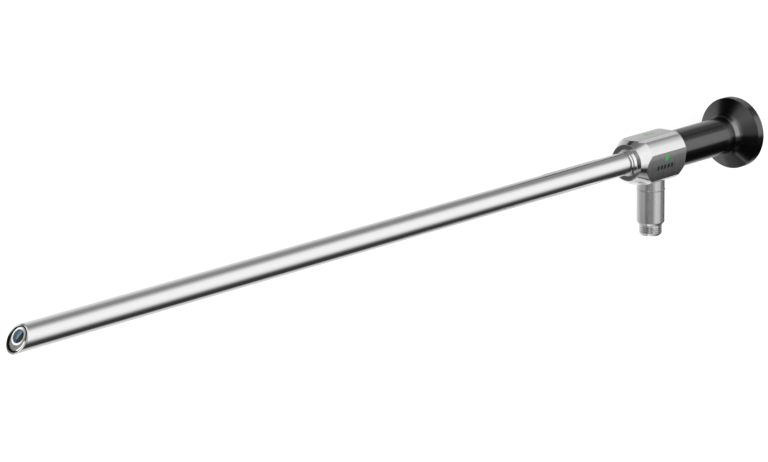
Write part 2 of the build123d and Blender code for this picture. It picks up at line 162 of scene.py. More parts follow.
def slanted_off_centre(x, r, angle):
    """Point of a piece of the optics, cut off at the same slant and nearly round in it."""
    height = OPTIC_OFFSET + r * math.cos(angle)
    wide = SLANT_STRETCH - 0.13 * max(0, r - BEZEL_BORE)
    return (x - TUBE_LENGTH + height * SLANT, r * wide * math.sin(angle), height)


def turned_on_post(depth, r, angle):
    """Point of a piece turned about the light post's axis, at a depth under the tube's axis."""
    return (POST_PLACE + r * math.cos(angle), r * math.sin(angle), -depth)


def spun(name, outline, lay=turned, columns=144):
    """Solid with a closed outline of (x, r) points spun into columns and laid in place."""
    turns = [2 * math.pi * column / columns for column in range(columns)]
    return finished(name, skinned([[lay(x, r, turn) for x, r in outline] for turn in turns]))


def skinned(columns):
    """Mesh over closed columns of points that go all the way round."""
    mesh = bmesh.new()
    grid = [[mesh.verts.new(point) for point in column] for column in columns]
    for number, column in enumerate(grid):
        beside = grid[(number + 1) % len(grid)]
        for row in range(len(column)):
            next_row = (row + 1) % len(column)
            mesh.faces.new((column[row], column[next_row], beside[next_row], beside[row]))
    return mesh


def put(name, mesh):
    """Object of a mesh, in the scene."""
    data = bpy.data.meshes.new(name)
    mesh.to_mesh(data)
    mesh.free()
    piece = bpy.data.objects.new(name, data)
    bpy.context.scene.collection.objects.link(piece)
    return piece


def finished(name, mesh, cutters=()):
    """Object of a mesh in the scope's millimetres: merged, cut, smoothed and put in the row's frame."""
    bmesh.ops.remove_doubles(mesh, verts=mesh.verts, dist=1e-5)
    bmesh.ops.dissolve_degenerate(mesh, edges=mesh.edges, dist=1e-5)
    bmesh.ops.recalc_face_normals(mesh, faces=mesh.faces)
    piece = put(name, mesh)
    for cutter in cutters:
        cut = piece.modifiers.new("cut", "BOOLEAN")
        cut.operation = "DIFFERENCE"
        cut.solver = "EXACT"
        cut.object = cutter
    baked(piece)
    for cutter in cutters:
        bpy.data.objects.remove(cutter)
    piece.data.transform(TO_ROW)
    piece.data.shade_smooth()
    piece.data.set_sharp_from_angle(angle=math.radians(38))
    weigh = piece.modifiers.new("weigh", "WEIGHTED_NORMAL")
    weigh.keep_sharp = True
    weigh.weight = 100
    baked(piece)
    if len(piece.data.polygons) < 8:
        raise RuntimeError(f"{name} came out empty")
    return piece


def baked(piece):
    """Puts a piece's modifiers into its mesh."""
    if not piece.modifiers:
        return
    seen = piece.evaluated_get(bpy.context.evaluated_depsgraph_get())
    made = bpy.data.meshes.new_from_object(seen)
    piece.modifiers.clear()
    piece.data = made


def dressed(piece, finish, node):
    """A made piece stands for its CAD node, in a finish, and rides with the scope."""
    piece.data.materials.clear()
    piece.data.materials.append(finish)
    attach(piece, "root")
    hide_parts(node)


def coated(node, finish):
    """A CAD node keeps its shape and gets a finish."""
    if node not in frame["nodes"]:
        raise RuntimeError(f"the frame has no node {node}")
    for slot in frame["nodes"][node].material_slots:
        slot.material = finish


# Shader maths

class Shade:
    """A value, vector or colour on its way through a shader's nodes, so that maths reads as maths."""

    def __init__(self, shader, socket):
        self.shader = shader
        self.socket = socket

    def maths(self, operation, *others, swapped=False):
        terms = (*others, self) if swapped else (self, *others)
        return self.shader.node("ShaderNodeMath", {"operation": operation}, dict(enumerate(terms)))

    def __add__(self, other):
        return self.maths("ADD", other)

    def __sub__(self, other):
        return self.maths("SUBTRACT", other)

    def __rsub__(self, other):
        return self.maths("SUBTRACT", other, swapped=True)

    def __mul__(self, other):
        return self.maths("MULTIPLY", other)

    def __truediv__(self, other):
        return self.maths("DIVIDE", other)

    def __pow__(self, other):
        return self.maths("POWER", other)

    __radd__ = __add__
    __rmul__ = __mul__

    def __neg__(self):
        return 0 - self

    def higher(self, other):
        """The higher of this value and another."""
        return self.maths("MAXIMUM", other)

    def dot(self, direction):
        """How far this vector reaches in a direction."""
        return self.shader.node(
            "ShaderNodeVectorMath", {"operation": "DOT_PRODUCT"}, {0: self, 1: direction}, output="Value"
        )

    def rise(self, low, high):
        """0 below low, 1 above high and a smooth rise between them."""
        return self.shader.node(
            "ShaderNodeMapRange", {"interpolation_type": "SMOOTHSTEP"},
            {"Value": self, "From Min": low, "From Max": high}, output="Result",
        )

    def band(self, low, high, soft):
        """1 between low and high, falling off over a soft edge."""
        return self.rise(low - soft, low) * (1 - self.rise(high, high + soft))

    def ramp(self, *stops):
        """Grey level of a ramp at this value, from its stops."""
        return self.shader.node("ShaderNodeValToRGB", {"stops": stops}, {"Fac": self})

    def scaled(self, colour):
        """A colour made lighter or darker by this value."""
        return self.shader.node(
            "ShaderNodeVectorMath", {"operation": "SCALE"}, {0: colour, "Scale": self}, output="Vector"
        )

    def mixed(self, first, second):
        """Colour from first to second, with this value as the share of the second."""
        return self.shader.node(
            "ShaderNodeMix", {"data_type": "RGBA"}, {0: self, 6: first, 7: second}, output=2
        )


class Shader:
    """The nodes of one material or of the world, built by one method."""

    def __init__(self, owner):
        owner.use_nodes = True
        self.owner = owner
        self.tree = owner.node_tree
        self.tree.nodes.clear()

    def node(self, kind, settings=None, inputs=None, output=0):
        """A node of a kind: its settings first, then the values or links of its sockets."""
        made = self.tree.nodes.new(kind)
        for name, value in (settings or {}).items():
            if name == "stops":
                self.set_stops(made.color_ramp, value)
            else:
                setattr(made, name, value)
        for name, value in (inputs or {}).items():
            if isinstance(value, Shade):
                self.tree.links.new(value.socket, made.inputs[name])
            else:
                made.inputs[name].default_value = value
        return Shade(self, made.outputs[output]) if made.outputs else None

    def set_stops(self, ramp, stops):
        """Puts a ramp's stops in place: each a position and a grey level."""
        ramp.interpolation = "EASE"
        while len(ramp.elements) < len(stops):
            ramp.elements.new(1.0)
        for element, (position, level) in zip(ramp.elements, stops):
            element.position = position
            element.color = grey(level)

    def place(self):
        """Place on the scope, in its own millimetres: along, across and away."""
        spot = self.node("ShaderNodeTexCoord", output="Object")
        spot = self.node("ShaderNodeVectorMath", {"operation": "SUBTRACT"}, {0: spot, 1: HUB})
        return tuple(spot.dot(axis / MM) for axis in (ALONG, ACROSS, AWAY))

    def grain(self, place, fineness, detail=2.0):
        """Noise in -0.5 to 0.5 with its own fineness each way, in turns per millimetre."""
        ways = [way * share for way, share in zip(place, fineness)]
        vector = self.node("ShaderNodeCombineXYZ", None, dict(enumerate(ways)))
        return self.node(
            "ShaderNodeTexNoise", {"noise_dimensions": "3D"},
            {"Vector": vector, "Scale": 1.0, "Detail": detail, "Roughness": 0.55}, output="Fac",
        ) - 0.5

    def cells(self, place, fineness):
        """Distance from the middle of the nearest of many cells, in turns per millimetre."""
        vector = self.node("ShaderNodeCombineXYZ", None, dict(enumerate(place)))
        return self.node("ShaderNodeTexVoronoi", None, {"Vector": vector, "Scale": fineness}, "Distance")

    def ray(self, kind):
        """1 for a ray of a kind, else 0."""
        return self.node("ShaderNodeLightPath", output=f"Is {kind} Ray")

    def blended(self, share, first, second):
        """Two shaders mixed, with the share of the second."""
        return self.node("ShaderNodeMixShader", None, {0: share, 1: first, 2: second})

    def raised(self, height, reach):
        """Normal for a height between 0 and 1 that reaches so many metres."""
        return self.node("ShaderNodeBump", None, {"Height": height, "Distance": reach, "Strength": 1.0})

    def surface(self, **sockets):
        """A Principled shader, with its own sockets, as the surface."""
        return self.out(self.principled(**sockets))

    def principled(self, **sockets):
        """A Principled shader with its own sockets."""
        names = {name.replace("_", " "): value for name, value in sockets.items()}
        return self.node("ShaderNodeBsdfPrincipled", None, names)

    def out(self, skin):
        """Puts a shader on the surface and gives the material back."""
        self.node("ShaderNodeOutputMaterial", None, {"Surface": skin})
        return self.owner


def new_shader(name):
    """Shader of a new material."""
    return Shader(bpy.data.materials.new(name))


def grey(level):
    """A grey of a level, as a colour."""
    return (level, level, level, 1)


def from_middle(first, second):
    """Distance of a place with two coordinates from the middle, in a shader."""
    return (first * first + second * second) ** 0.5


def highest(values):
    """The highest of a shader's values."""
    first, *others = values
    for other in others:
        first = first.higher(other)
    return first


def banded(turn, *bands):
    """The highest of some bands of a turn: where each lies, from and to, soft edge and strength."""
    return highest(
        where * turn.band(low, high, soft) * strength for where, low, high, soft, strength in bands
    )


# What a user would change

class ENDOSCOPE_PG_shapes(bpy.types.PropertyGroup):
    edge_round: bpy.props.FloatProperty(
        name="Edge round", description="Radius on the hub's edges, in millimetres",
        default=0.16, min=0.02, max=0.5,
    )
    lip_round: bpy.props.FloatProperty(
        name="Lip round", description="Radius on the outer edge of the slanted end, in millimetres",
        default=0.15, min=0.05, max=0.5,
    )
    thread_depth: bpy.props.FloatProperty(
        name="Thread depth", description="Depth of the thread on the light post, in millimetres",
        default=0.45, min=0.1, max=0.6,
    )
    thread_pitch: bpy.props.FloatProperty(
        name="Thread pitch", description="Pitch of the thread on the light post, in millimetres",
        default=0.85, min=0.4, max=1.2,
    )
    flare_round: bpy.props.FloatProperty(
        name="Flare round", description="Radius where the barrel flares into the rim, in millimetres",
        default=4.0, min=1.0, max=8.0,
    )


class ENDOSCOPE_PG_finishes(bpy.types.PropertyGroup):
    tube_steel: bpy.props.FloatVectorProperty(
        name="Tube steel", description="Colour of the polished tube", subtype="COLOR",
        default=(0.69, 0.69, 0.69), min=0, max=1,
    )
    tube_roughness: bpy.props.FloatProperty(
        name="Tube roughness", description="Roughness of the polished tube", subtype="FACTOR",
        default=0.13, min=0, max=1,
    )
    hub_steel: bpy.props.FloatVectorProperty(
        name="Hub steel", description="Colour of the brushed hub and post", subtype="COLOR",
        default=(0.64, 0.64, 0.645), min=0, max=1,
    )
    hub_roughness: bpy.props.FloatProperty(
        name="Hub roughness", description="Roughness of the brushed hub", subtype="FACTOR",
        default=0.15, min=0, max=1,
    )
    post_roughness: bpy.props.FloatProperty(
        name="Post roughness", description="Roughness of the light post", subtype="FACTOR",
        default=0.3, min=0, max=1,
    )
    shell_black: bpy.props.FloatVectorProperty(
        name="Eyepiece black", description="Colour of the eyepiece shell", subtype="COLOR",
        default=(0.0016, 0.0016, 0.0018), min=0, max=1,
    )
    shell_roughness: bpy.props.FloatProperty(
        name="Eyepiece roughness", description="Roughness of the eyepiece shell", subtype="FACTOR",
        default=0.17, min=0, max=1,
    )
    glass_coat: bpy.props.FloatVectorProperty(
        name="Glass coat", description="Colour that the coated glass sends back", subtype="COLOR",
        default=(0.09, 0.2, 0.27), min=0, max=1,
    )
    mark_green: bpy.props.FloatVectorProperty(
        name="Mark green", description="Colour of the plain marks on the hub", subtype="COLOR",
        default=(0.05, 0.42, 0.08), min=0, max=1,
    )


class ENDOSCOPE_PG_studio(bpy.types.PropertyGroup):
    camera_place: bpy.props.FloatVectorProperty(
        name="Camera place", description="Where the camera stands", subtype="XYZ", unit="LENGTH",
        default=(-0.974523, 0.080535, 0.894831),
    )
    camera_turn: bpy.props.FloatVectorProperty(
        name="Camera turn", description="The camera's turn about X, Y and Z", subtype="EULER",
        default=(math.radians(10.7428), math.radians(-46.3398), math.radians(-18.8981)),
    )
    camera_lens: bpy.props.FloatProperty(
        name="Camera lens", description="Focal length on a 36 mm sensor, in millimetres",
        default=153.72, min=20, max=400,
    )
    panel_level: bpy.props.FloatProperty(
        name="Panel level", description="Brightness of the light panel overhead",
        default=1.3, min=0, max=3,
    )
    lamp_power: bpy.props.FloatProperty(
        name="Lamp power", description="Power of the lamp in front", unit="POWER",
        default=5.0, min=0, max=50,
    )
    floor_size: bpy.props.FloatProperty(
        name="Floor size", description="Half the width of the pale floor", unit="LENGTH",
        default=6.0, min=1, max=20,
    )
    shadow_share: bpy.props.FloatProperty(
        name="Shadow share", description="How much of the floor's look comes from light that falls on it",
        subtype="FACTOR", default=0.3, min=0, max=1,
    )


# Finishes

def polished_steel():
    """Ground and polished steel of the tube: fine rings of polish, a little uneven."""
    look = bpy.context.scene.endoscope_finishes
    shader = new_shader("polished_steel_tube")
    place = along, across, away = shader.place()
    rings = shader.grain(place, (7.0, 0.15, 0.15))
    haze = shader.grain(place, (0.02, 0.12, 0.12), 3.0)
    # Painted reflections and shade on the ground lip: it goes from light to dark and back on the way round
    lip = 1 - (along + TUBE_LENGTH - away * SLANT).rise(0.3, 0.5)
    turn = away.maths("ARCTAN2", across) / (2 * math.pi) + 0.5
    ground_and_painted_light = turn.ramp(
        (0.0, 0.6), (0.1, 1.4), (0.25, 0.5), (0.33, 0.3), (0.42, 0.03), (0.5, 0.03), (0.6, 0.9),
        (0.68, 1.1), (0.75, 0.3), (0.86, 1.4), (1.0, 0.6),
    )
    return shader.surface(
        Base_Color=(1 - lip * (1 - ground_and_painted_light)).scaled(look.tube_steel), Metallic=1.0,
        Roughness=rings * 0.05 + haze * 0.06 + look.tube_roughness,
        Normal=shader.raised(rings, 0.0000004),
    )


def brushed_steel():
    """Brushed steel of the hub: rings on its turned faces, and strokes down its flats."""
    look = bpy.context.scene.endoscope_finishes
    shader = new_shader("brushed_steel_hub")
    place = along, across, away = shader.place()
    out = across.maths("ABSOLUTE") - away * HUB_LEAN
    on_sides = along.band(1.0, HUB_LENGTH - 0.6, 0.4) * out.rise(HUB_SIDE - 0.07, HUB_SIDE - 0.01)
    on_sides = on_sides * (1 - out.rise(HUB_SIDE + 0.02, HUB_SIDE + 0.08))
    on_top = away.rise(HUB_TOP - 0.1, HUB_TOP - 0.02)
    rings = shader.grain(place, (7.0, 0.2, 0.2))
    strokes = shader.grain(place, (2.2, 0.2, 0.07), 4.0) * 2.0
    brush = rings * (1 - on_sides) + strokes * on_sides
    # Painted shade: the side flats get darker towards their foot
    painted_shade_to_foot = ((away + 9.0) / 12.5).ramp((0.0, 0.24), (0.4, 0.42), (0.72, 0.6), (0.9, 0.95), (1.0, 1.0)) * 1.5
    steel = ((brush * 0.2 + 1.0) * (1 - on_sides + on_sides * painted_shade_to_foot)).scaled(look.hub_steel)
    # Plain marks: a green dot and dark ticks on each side, and green and dark ticks on the top
    dot = (1 - from_middle(along - 16.0, away - 0.8).rise(1.3, 1.4)) * on_sides
    tick = (along.maths("PINGPONG", 0.8) - 0.36).rise(-0.03, 0.03)
    wide_tick = (along.maths("PINGPONG", 1.2) - 0.5).rise(-0.03, 0.03)
    side_row = wide_tick * along.band(10.0, 22.3, 0.05) * away.band(-4.0, -2.2, 0.05) * on_sides
    top_row = tick * along.band(5.0, 26.0, 0.05) * across.band(-3.9, -3.0, 0.1) * on_top
    patch = tick * along.band(14.6, 21.6, 0.05) * across.band(0.5, 3.1, 0.1) * on_top
    green = dot.higher(patch)
    dark = side_row.higher(top_row * 0.6)
    painted = green.mixed(dark.mixed(steel, grey(0.002)), (*look.mark_green, 1))
    # The side flats swell a little in the middle
    crown = away * away * -0.0016 * on_sides
    # Pale, less metallic strips beside the flats on the lamp's side, more matt than the rest: painted
    # highlights
    below = (-away).rise(8.65, 9.0) * (-across).rise(1.0, 2.0) * along.rise(1.0, 2.0)
    above = away.band(8.95, 9.34, 0.25) * (-across).rise(3.0, 4.5) * along.band(3.5, 28.0, 0.5)
    matt = below.higher(above)
    return shader.surface(
        Base_Color=(matt * 0.8).mixed(painted, grey(0.93)),
        Metallic=(1 - green.higher(dark)) * (1 - matt * 0.5),
        Roughness=brush * 0.16 + on_sides * 0.07 + on_top * 0.05 + look.hub_roughness,
        Normal=shader.raised(brush * 0.004 + crown, MM),
    )


def satin_steel():
    """Satin steel of the light post, with strokes along it and painted reflections and shade that differ
    round it.
    """
    look = bpy.context.scene.endoscope_finishes
    shader = new_shader("satin_steel_post")
    place = along, across, away = shader.place()
    strokes = shader.grain(place, (1.5, 1.5, 0.03), 3.0)
    mottle = shader.grain(place, (0.7, 0.7, 0.3), 2.0)
    turn = (-across).maths("ARCTAN2", POST_PLACE - along) / (2 * math.pi) + 0.5
    # Painted reflections and shade: lighter and darker bands by the turn round the post
    painted_light_round_post = turn.ramp(
        (0.0, 0.62), (0.4, 0.64), (0.458, 0.46), (0.5, 0.38), (0.525, 0.46), (0.5417, 0.34), (0.556, 0.5),
        (0.575, 1.0), (0.6, 0.95), (0.616, 0.72), (0.66, 0.66), (0.708, 0.56), (0.745, 0.24), (0.785, 0.36),
        (0.84, 0.66), (1.0, 0.62),
    )
    threaded = (-away).rise(30.0, 30.6)
    tone = (strokes * 0.4 + mottle * 0.1 + 1.0) * painted_light_round_post * (threaded * 0.25 + 1.5)
    return shader.surface(
        Base_Color=tone.scaled(look.hub_steel), Metallic=1.0,
        Roughness=strokes * 0.2 + mottle * 0.08 + look.post_roughness,
        Normal=shader.raised(strokes, 0.000003),
    )


def black_satin():
    """Black satin of the eyepiece, blended from a glossy and a dim copy: painted highlights in the flare's
    hollow and in glossier bands, painted shade along duller bands.
    """
    look = bpy.context.scene.endoscope_finishes
    shader = new_shader("black_satin_eyepiece")
    place = along, across, away = shader.place()
    rings = shader.grain(place, (8.0, 0.4, 0.4))
    mottle = shader.grain(place, (0.5, 0.5, 0.5), 4.0)
    black = (mottle * 0.6 + 1.0).scaled(look.shell_black)
    turn = away.maths("ARCTAN2", -across) * (180 / math.pi)
    radius = from_middle(across, away)
    rim = along.rise(RIM_FRONT - 0.5, RIM_FRONT) * radius.rise(RIM_RADIUS - 0.5, RIM_RADIUS - 0.1)
    flare = along.rise(61.0, 67.0) * (1 - rim)
    barrel = 1 - flare
    # Painted highlight: more gloss in the flare's hollow, on one side only
    hollow = along.rise(64.5, 66.5) * (1 - radius.rise(9.2, 10.6)) * turn.band(10.0, 45.0, 25.0)
    # Painted shade in dimmer bands and painted highlights in glossier bands along the shell, in degrees up
    # from the lamp's side
    painted_dim_bands = banded(
        turn, (barrel, -32.0, -2.0, 10.0, 1.0), (barrel, 39.0, 50.0, 8.0, 0.6),
        (flare, -44.0, 0.0, 10.0, 0.85), (flare, 76.0, 104.0, 16.0, 0.85),
        (flare, -86.0, -58.0, 12.0, 0.45), (rim, 94.0, 130.0, 8.0, 0.6),
    )
    painted_bright_bands = banded(
        turn, (barrel, 74.0, 100.0, 8.0, 1.0), (barrel * rim, 56.0, 88.0, 8.0, 1.0),
        (barrel, -76.0, -48.0, 8.0, 0.7),
    )
    gloss = (0.42 + hollow * 0.58 + painted_bright_bands * 0.58) * (1 - painted_dim_bands * 0.97) + mottle * 0.03
    normal = shader.raised(rings, 0.0000012)
    satin = shader.principled(
        Base_Color=black, Roughness=rings * 0.05 + mottle * 0.05 + look.shell_roughness,
        IOR=2.8, Normal=normal,
    )
    matt = shader.principled(Base_Color=black, Roughness=0.3, IOR=1.12, Normal=normal)
    return shader.out(shader.blended(gloss, matt, satin))


def bright_bezel():
    """Bright satin metal of the ring round the front window, almost white."""
    shader = new_shader("bright_bezel_metal")
    place = _, across, away = shader.place()
    mottle = shader.grain(place, (2.0, 2.0, 2.0), 3.0)
    high = away - OPTIC_OFFSET
    face = from_middle(across / SLANT_STRETCH, high).rise(BEZEL_BORE + 0.01, BEZEL_BORE + 0.08)
    # Painted shade: one side of the ring is darker
    wear_and_painted_shade = (high * 0.15 - across * 0.35).rise(0.3, 1.0)
    pale = wear_and_painted_shade.mixed((mottle + 0.5).mixed(grey(0.86), grey(0.96)), grey(0.38))
    # Painted reflection in the bore: the dark and the blue-green part of the prism
    bore = across.rise(0.0, 1.2).mixed(grey(0.01), (0.2, 0.36, 0.45, 1))
    return shader.surface(
        Base_Color=face.mixed(bore, pale), Metallic=face * 0.25,
        Roughness=mottle * 0.1 + 0.3, Normal=shader.raised(mottle, 0.000004),
    )


def fibre_ends():
    """Ground ends of the fibres, lit on one side, a steel sleeve round them and painted shade in the groove
    outside it.
    """
    shader = new_shader("ground_fibre_ends")
    place = along, across, away = shader.place()
    radius = from_middle(across, away)
    near_end = 1 - along.rise(10.0 - TUBE_LENGTH, 11.0 - TUBE_LENGTH)
    specks = shader.cells(place, 6.0).rise(0.15, 0.6)
    patches = shader.grain(place, (0.8, 0.8, 0.8), 2.0)
    fibres = (specks * 0.6 + patches * 0.6 + 0.1).mixed((0.26, 0.26, 0.255, 1), (0.13, 0.13, 0.125, 1))
    low_side = ((across * -0.82 - away * 0.57) / radius).rise(0.78, 0.88)
    lit = radius.rise(3.5, 3.6) * low_side * near_end
    # Painted shade: near black over the sleeve and outside it, less on the high side and wider on the far
    # side
    far_side = ((across * 0.85 - away * 0.5) / radius).rise(0.2, 0.9)
    high_side = ((across * 0.6 + away * 0.8) / radius).rise(0.86, 0.95)
    sleeve = radius.band(3.64, 4.05, 0.02) * near_end * (1 - lit)
    outside = (radius + far_side * 0.5).rise(3.9, 4.0) * near_end * (1 - lit)
    painted_gap_shade = (sleeve * (1 - high_side * 0.7)).higher(outside)
    ends = lit.mixed(sleeve.mixed(fibres, grey(0.8)), (0.88, 0.88, 0.87, 1))
    return shader.surface(
        Base_Color=painted_gap_shade.mixed(ends, grey(0.004)),
        Metallic=sleeve * (1 - painted_gap_shade), Roughness=specks * 0.12 + 0.3 - sleeve * 0.15,
        Normal=shader.raised((1 - specks) * (1 - sleeve), 0.000012),
    )


def coated_glass():
    """Thin window glass with a blue-green coat."""
    look = bpy.context.scene.endoscope_finishes
    shader = new_shader("coated_window_glass")
    haze = shader.grain(shader.place(), (0.8, 0.8, 0.8), 2.0)
    return shader.surface(
        Base_Color=(haze * 0.03 + 0.05).scaled(look.glass_coat),
        Roughness=haze * 0.02 + 0.03, Alpha=haze * 0.06 + 0.25, IOR=1.5,
    )


def clear_glass():
    """Clear polished glass of the lenses and rods."""
    shader = new_shader("clear_lens_glass")
    haze = shader.grain(shader.place(), (0.6, 0.6, 0.6), 2.0)
    return shader.surface(
        Base_Color=(haze + 0.5).mixed((0.93, 0.97, 0.98, 1), (0.97, 0.99, 0.99, 1)),
        Roughness=haze * 0.02 + 0.02, Transmission_Weight=1.0, IOR=1.62,
    )


def prism_glass():
    """Face of the view prism: painted blue-green light on one part, brightest at its edge; the rest is black
    inside with painted glints, and all of it glows faintly.
    """
    shader = new_shader("view_prism_face")
    place = _, across, away = shader.place()
    fog = shader.grain(place, (1.2, 1.2, 1.2), 2.0)
    edge = across + (away - OPTIC_OFFSET) * 0.486 - 0.68
    silver = (edge + fog * 0.1).rise(-0.05, 0.05)
    lit = (1.3 - edge + fog * 0.8).rise(0.0, 1.2).mixed((0.2, 0.367, 0.472, 1), (0.5, 0.72, 0.83, 1))
    glints = (1 - shader.cells(place, 2.6).rise(0.1, 0.26)) * edge.band(-1.1, -0.15, 0.2) * 0.7
    shade = glints.mixed(grey(0.002), (0.3, 0.31, 0.32, 1))
    # Painted light and glints; the same colour also glows faintly below, though the prism is no lamp
    painted_prism_light = silver.mixed(shade, lit)
    return shader.surface(
        Base_Color=painted_prism_light, Emission_Color=painted_prism_light, Emission_Strength=0.2,
        Roughness=fog * 0.1 + 0.3, IOR=1.5,
    )


def drawn_steel():
    """Drawn steel of the thin tubes inside."""
    shader = new_shader("drawn_steel_inside")
    strokes = shader.grain(shader.place(), (0.1, 4.0, 4.0))
    return shader.surface(
        Base_Color=(strokes + 0.5).mixed(grey(0.5), grey(0.6)), Metallic=1.0,
        Roughness=strokes * 0.1 + 0.3, Normal=shader.raised(strokes, 0.000001),
    )


def black_metal():
    """Black anodised rings and tubes inside."""
    shader = new_shader("black_anodised_inside")
    rings = shader.grain(shader.place(), (6.0, 0.5, 0.5))
    return shader.surface(
        Base_Color=(rings + 0.5).mixed(grey(0.008), grey(0.022)), Metallic=0.0,
        Roughness=rings * 0.1 + 0.45, Normal=shader.raised(rings, 0.000002),
    )


def seal_rubber():
    """Dark rubber of the seals."""
    shader = new_shader("seal_rubber_dark")
    mottle = shader.grain(shader.place(), (2.0, 2.0, 2.0), 3.0)
    return shader.surface(
        Base_Color=(mottle + 0.5).mixed(grey(0.02), grey(0.045)), Roughness=mottle * 0.2 + 0.65,
    )


# Pieces

class ENDOSCOPE_OT_tube(bpy.types.Operator):
    """Long polished tube with its slanted, rounded lip"""

    bl_idname = "endoscope.tube"
    bl_label = "Outer tube"

    def execute(self, context):
        lip = context.scene.endoscope_shapes.lip_round
        crest = TUBE_RADIUS - lip
        bevel = 0.12
        turns = [math.radians(15 * step) for step in range(7)]
        sheared, straight = SLANT_REACH - 5, SLANT_REACH + 5
        shoulder = TUBE_LENGTH - 2.6
        end = TUBE_LENGTH + 9.0
        corners = [
            (bevel, TUBE_BORE, 0.04), (0.0, TUBE_BORE + bevel, 0.04),
            *((lip - lip * math.cos(turn), crest + lip * math.sin(turn), 0) for turn in turns),
            (sheared, TUBE_RADIUS, 0), (straight, TUBE_RADIUS, 0),
            (shoulder, TUBE_RADIUS, 0.05), (shoulder, TUBE_NECK, 0.03),
            (end, TUBE_NECK, 0.05), (end, TUBE_BORE, 0.05),
            (straight, TUBE_BORE, 0), (sheared, TUBE_BORE, 0),
        ]
        tube = spun("tube_wall", rounded(corners, 6), slanted, 192)
        dressed(tube, polished_steel(), "outer_tube")
        return {"FINISHED"}


class ENDOSCOPE_OT_slanted_end(bpy.types.Operator):
    """Bezel, window, prism and fibre ends in the slanted end"""

    bl_idname = "endoscope.slanted_end"
    bl_label = "Slanted end"

    def execute(self, context):
        # Depths square to the slanted cut times this are depths along the tube
        behind = SLANT_STRETCH
        proud, bezel_back = -0.06, 1.2 * behind
        bezel = [
            (proud, BEZEL_BORE, 0.18), (proud, BEZEL_RADIUS, 0.22),
            (bezel_back, BEZEL_RADIUS, 0), (bezel_back, BEZEL_BORE, 0),
        ]
        ring = spun("end_bezel", rounded(bezel, 6), slanted_off_centre, 128)
        dressed(ring, bright_bezel(), "window_bezel")
        front, back, pane_radius = 0.1 * behind, 0.9 * behind, BEZEL_BORE - SLACK
        pane = [(front, 0.0, 0), (front, pane_radius, 0.04), (back, pane_radius, 0), (back, 0.0, 0)]
        glass = spun("end_window", rounded(pane, 3), slanted_off_centre, 128)
        dressed(glass, coated_glass(), "front_window")
        coated("view_prism", prism_glass())
        # A curved groove round the fibres' ground end, just inside the tube
        groove = spun("groove", [
            (-1.0, 3.62), (0.15 * behind, 3.62), (0.2 * behind, 3.8), (0.34 * behind, 3.95),
            (0.6 * behind, 4.04), (0.9 * behind, 4.06), (0.9 * behind, 4.6), (-1.0, 4.6),
        ], slanted, 128)
        mesh = bmesh.new()
        mesh.from_mesh(frame["nodes"]["light_fibres"].data)
        mesh.transform(TO_ROW.inverted() @ frame["nodes"]["light_fibres"].matrix_world)
        groove.data.transform(TO_ROW.inverted())
        bundle = finished("fibre_bundle", mesh, [groove])
        dressed(bundle, fibre_ends(), "light_fibres")
        return {"FINISHED"}


class ENDOSCOPE_OT_collar(bpy.types.Operator):
    """Waisted collar where the tube enters the hub"""

    bl_idname = "endoscope.collar"
    bl_label = "Tube collar"

    def execute(self, context):
        bore = TUBE_NECK + SLACK
        front, back = -2.4, 8.0
        waist, waist_radius = 1.9, 5.3
        swell = COLLAR_RADIUS - waist_radius
        shares = [step / 10 for step in range(2, 10)]
        corners = [
            (back, bore, 0), (front, bore, 0.03), (front, bore + 0.2, 0.06), (-waist, waist_radius, 0.08),
            *((waist * (share - 1), waist_radius + swell * share ** 2.2, 0) for share in shares),
            (0.0, COLLAR_RADIUS, 0.03), (back, COLLAR_RADIUS, 0),
        ]
        ring = spun("waisted_collar", rounded(corners, 3), turned, 144)
        dressed(ring, polished_steel(), "tube_collar")
        return {"FINISHED"}


